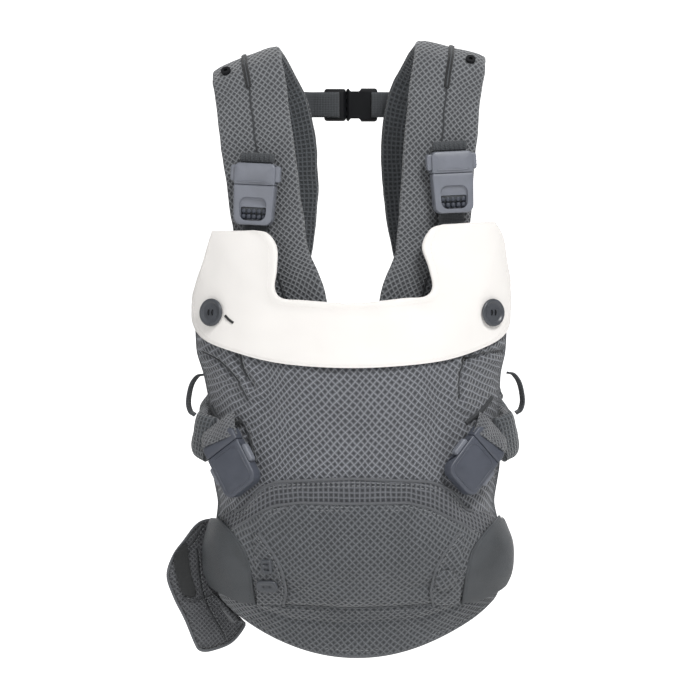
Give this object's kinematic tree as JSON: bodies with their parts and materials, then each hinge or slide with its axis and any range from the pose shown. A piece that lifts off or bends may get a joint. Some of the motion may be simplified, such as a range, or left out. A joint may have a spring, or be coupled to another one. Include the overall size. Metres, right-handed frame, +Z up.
{
  "type": "soft baby carrier",
  "caption": "Soft structured baby carrier: padded front panel, shoulder straps with magnetic buckles, waist belt with pouch, cotton bib and a cross strap behind.",
  "frame": {"origin": "centre of the wearer's waist, at the height of the waist belt, midway between the belt wings", "axes": "+X to the right when looking at the front, +Y towards the wearer, +Z up"},
  "size_m": [0.3591, 0.258, 0.6224],
  "materials": {
    "mesh_fabric": "woven grey mesh with small dark cells, matt",
    "foam": "soft open-cell foam",
    "lining": "fine square mesh lining, matt",
    "cotton": "smooth off-white cotton",
    "button_plastic": "satin dark grey",
    "smooth_patch": "smooth soft-touch, slight sheen",
    "webbing": "ribbed woven webbing",
    "black_plastic": "satin black",
    "buckle_plastic": "satin blue-grey",
    "steel": "nickel plated"
  },
  "bodies": {
    "root": {"outer_panel": "mesh_fabric", "panel_foam": "foam", "inner_liner": "lining", "head_support": "mesh_fabric", "bib": "cotton", "bib_buttons": "button_plastic", "seat_panel": "mesh_fabric", "leg_patch_left": "smooth_patch", "leg_patch_right": "smooth_patch", "seat_tab_left": "mesh_fabric", "seat_tab_right": "mesh_fabric", "seat_button": "button_plastic", "seat_keeper": "buckle_plastic", "covered_button": "mesh_fabric", "waist_belt": "mesh_fabric", "strap_front_left": "mesh_fabric", "strap_front_right": "mesh_fabric", "strap_back_left": "mesh_fabric", "strap_back_right": "mesh_fabric", "strap_tapes": "webbing", "strap_snaps": "black_plastic", "sleeve_left": "mesh_fabric", "sleeve_right": "mesh_fabric", "cross_web_right": "webbing", "cross_clip_socket": "black_plastic", "top_tongues": "buckle_plastic", "side_tongues": "buckle_plastic", "tongue_magnets": "steel", "buckle_webbing": "webbing"},
    "wing_left": {"belt_wing_left": "mesh_fabric", "belt_buckle_socket": "black_plastic", "pouch": "mesh_fabric", "pouch_band": "webbing"},
    "wing_right": {"belt_wing_right": "mesh_fabric", "belt_webbing_right": "webbing", "belt_buckle_plug": "black_plastic"},
    "top_half_left": {"top_housing_left": "buckle_plastic", "top_magnet_left": "steel", "top_knuckle_left": "webbing"},
    "top_half_right": {"top_housing_right": "buckle_plastic", "top_magnet_right": "steel", "top_knuckle_right": "webbing"},
    "side_half_left": {"side_housing_left": "buckle_plastic", "side_magnet_left": "steel"},
    "side_half_right": {"side_housing_right": "buckle_plastic", "side_magnet_right": "steel"},
    "clip_half": {"cross_clip_plug": "black_plastic", "cross_web_left": "webbing"},
    "prong_top": {"clip_prong_top": "black_plastic"},
    "prong_bottom": {"clip_prong_bottom": "black_plastic"},
    "loop_left": {"finger_loop_left": "webbing"},
    "loop_right": {"finger_loop_right": "webbing"},
    "top_button_left_outer_press": {"top_button_left_outer": "buckle_plastic"},
    "top_button_left_inner_press": {"top_button_left_inner": "buckle_plastic"},
    "top_button_right_outer_press": {"top_button_right_outer": "buckle_plastic"},
    "top_button_right_inner_press": {"top_button_right_inner": "buckle_plastic"},
    "side_button_left_upper_press": {"side_button_left_upper": "buckle_plastic"},
    "side_button_left_lower_press": {"side_button_left_lower": "buckle_plastic"},
    "side_button_right_upper_press": {"side_button_right_upper": "buckle_plastic"},
    "side_button_right_lower_press": {"side_button_right_lower": "buckle_plastic"}
  },
  "joints": [
    {"name": "top_buckle_left_release", "type": "slide", "parent": "root", "child": "top_half_left", "axis": [0.0503, -0.0144, 0.9986], "range_m": [0, 0.016]},
    {"name": "top_buckle_right_release", "type": "slide", "parent": "root", "child": "top_half_right", "axis": [-0.0503, -0.0144, 0.9986], "range_m": [0, 0.016]},
    {"name": "side_buckle_left_release", "type": "slide", "parent": "root", "child": "side_half_left", "axis": [0.4287, -0.3115, -0.848], "range_m": [0, 0.014]},
    {"name": "side_buckle_right_release", "type": "slide", "parent": "root", "child": "side_half_right", "axis": [-0.5517, -0.4009, -0.7314], "range_m": [0, 0.014]},
    {"name": "top_button_left_outer_press", "type": "slide", "parent": "top_half_left", "child": "top_button_left_outer_press", "axis": [0.9599, -0.2753, -0.0523], "range_m": [0, 0.0025], "stiffness_N_per_m": 400},
    {"name": "top_button_left_inner_press", "type": "slide", "parent": "top_half_left", "child": "top_button_left_inner_press", "axis": [-0.9599, 0.2753, 0.0523], "range_m": [0, 0.0025], "stiffness_N_per_m": 400},
    {"name": "top_button_right_outer_press", "type": "slide", "parent": "top_half_right", "child": "top_button_right_outer_press", "axis": [-0.9599, -0.2753, -0.0523], "range_m": [0, 0.0025], "stiffness_N_per_m": 400},
    {"name": "top_button_right_inner_press", "type": "slide", "parent": "top_half_right", "child": "top_button_right_inner_press", "axis": [0.9599, 0.2753, 0.0523], "range_m": [0, 0.0025], "stiffness_N_per_m": 400},
    {"name": "side_button_left_upper_press", "type": "slide", "parent": "side_half_left", "child": "side_button_left_upper_press", "axis": [-0.6861, 0.4985, -0.5299], "range_m": [0, 0.0025], "stiffness_N_per_m": 400},
    {"name": "side_button_left_lower_press", "type": "slide", "parent": "side_half_left", "child": "side_button_left_lower_press", "axis": [0.6861, -0.4985, 0.5299], "range_m": [0, 0.0025], "stiffness_N_per_m": 400},
    {"name": "side_button_right_upper_press", "type": "slide", "parent": "side_half_right", "child": "side_button_right_upper_press", "axis": [0.5917, 0.4299, -0.682], "range_m": [0, 0.0025], "stiffness_N_per_m": 400},
    {"name": "side_button_right_lower_press", "type": "slide", "parent": "side_half_right", "child": "side_button_right_lower_press", "axis": [-0.5917, -0.4299, 0.682], "range_m": [0, 0.0025], "stiffness_N_per_m": 400},
    {"name": "cross_clip_release", "type": "slide", "parent": "root", "child": "clip_half", "axis": [-1, 0, 0], "range_m": [0, 0.014]},
    {"name": "clip_prong_top_press", "type": "slide", "parent": "clip_half", "child": "prong_top", "axis": [0, 0, -1], "range_m": [0, 0.002], "stiffness_N_per_m": 400},
    {"name": "clip_prong_bottom_press", "type": "slide", "parent": "clip_half", "child": "prong_bottom", "axis": [0, 0, 1], "range_m": [0, 0.002], "stiffness_N_per_m": 400},
    {"name": "belt_wing_left_wrap", "type": "hinge", "parent": "root", "child": "wing_left", "pos_m": [-0.111, -0.026, 0.022], "axis": [0, 0, 1], "range_deg": [-12, 8]},
    {"name": "belt_wing_right_wrap", "type": "hinge", "parent": "root", "child": "wing_right", "pos_m": [0.119, -0.026, 0.022], "axis": [0, 0, 1], "range_deg": [-40, 6]},
    {"name": "finger_loop_left_swing", "type": "hinge", "parent": "root", "child": "loop_left", "pos_m": [-0.151, -0.014, 0.214], "axis": [0, 0, 1], "range_deg": [-12, 12]},
    {"name": "finger_loop_right_swing", "type": "hinge", "parent": "root", "child": "loop_right", "pos_m": [0.156, -0.014, 0.216], "axis": [0, 0, 1], "range_deg": [-12, 12]}
  ],
  "couplings": [
    {"joint": "clip_prong_bottom_press", "follows": "clip_prong_top_press", "ratio": 1}
  ]
}
